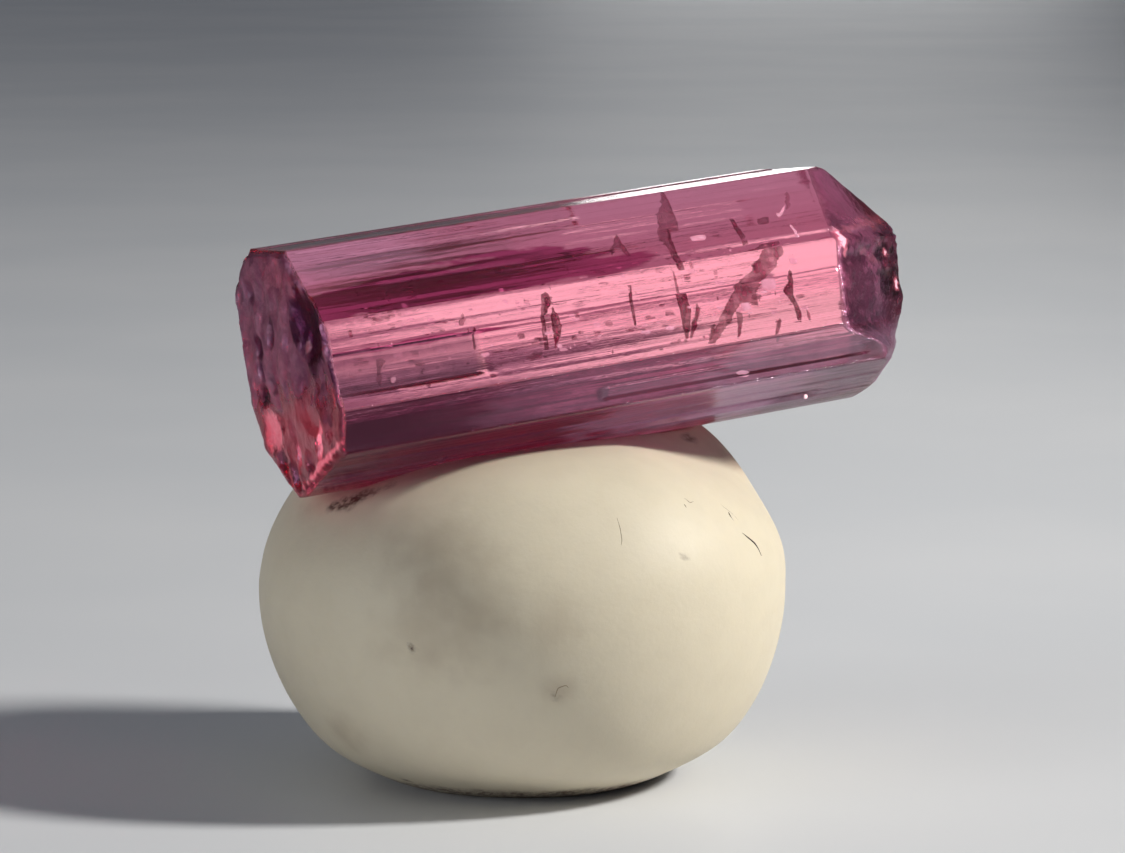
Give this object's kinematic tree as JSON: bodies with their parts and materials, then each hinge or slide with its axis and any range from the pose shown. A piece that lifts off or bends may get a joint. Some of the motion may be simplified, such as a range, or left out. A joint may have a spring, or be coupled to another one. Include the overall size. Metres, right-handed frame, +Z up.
{
  "type": "rubellite crystal on a ball of mineral putty",
  "caption": "Rubellite tourmaline crystal, a rounded three-sided striated prism with a broken end and a rough natural tip, lying in a ball of beige display putty.",
  "frame": {"origin": "centre of the flat foot that the putty ball rests on", "axes": "+X along the crystal as seen from above, from its broken end to its natural end; +Z up; -Y the side that it is shown from"},
  "size_m": [0.021, 0.016, 0.0182],
  "materials": {
    "rubellite": "clear to slightly flawed raspberry-pink tourmaline with a vitreous lustre",
    "putty": "soft matt beige putty with a faint sheen"
  },
  "bodies": {
    "root": {"rubellite_crystal": "rubellite", "putty_ball": "putty"}
  },
  "joints": []
}
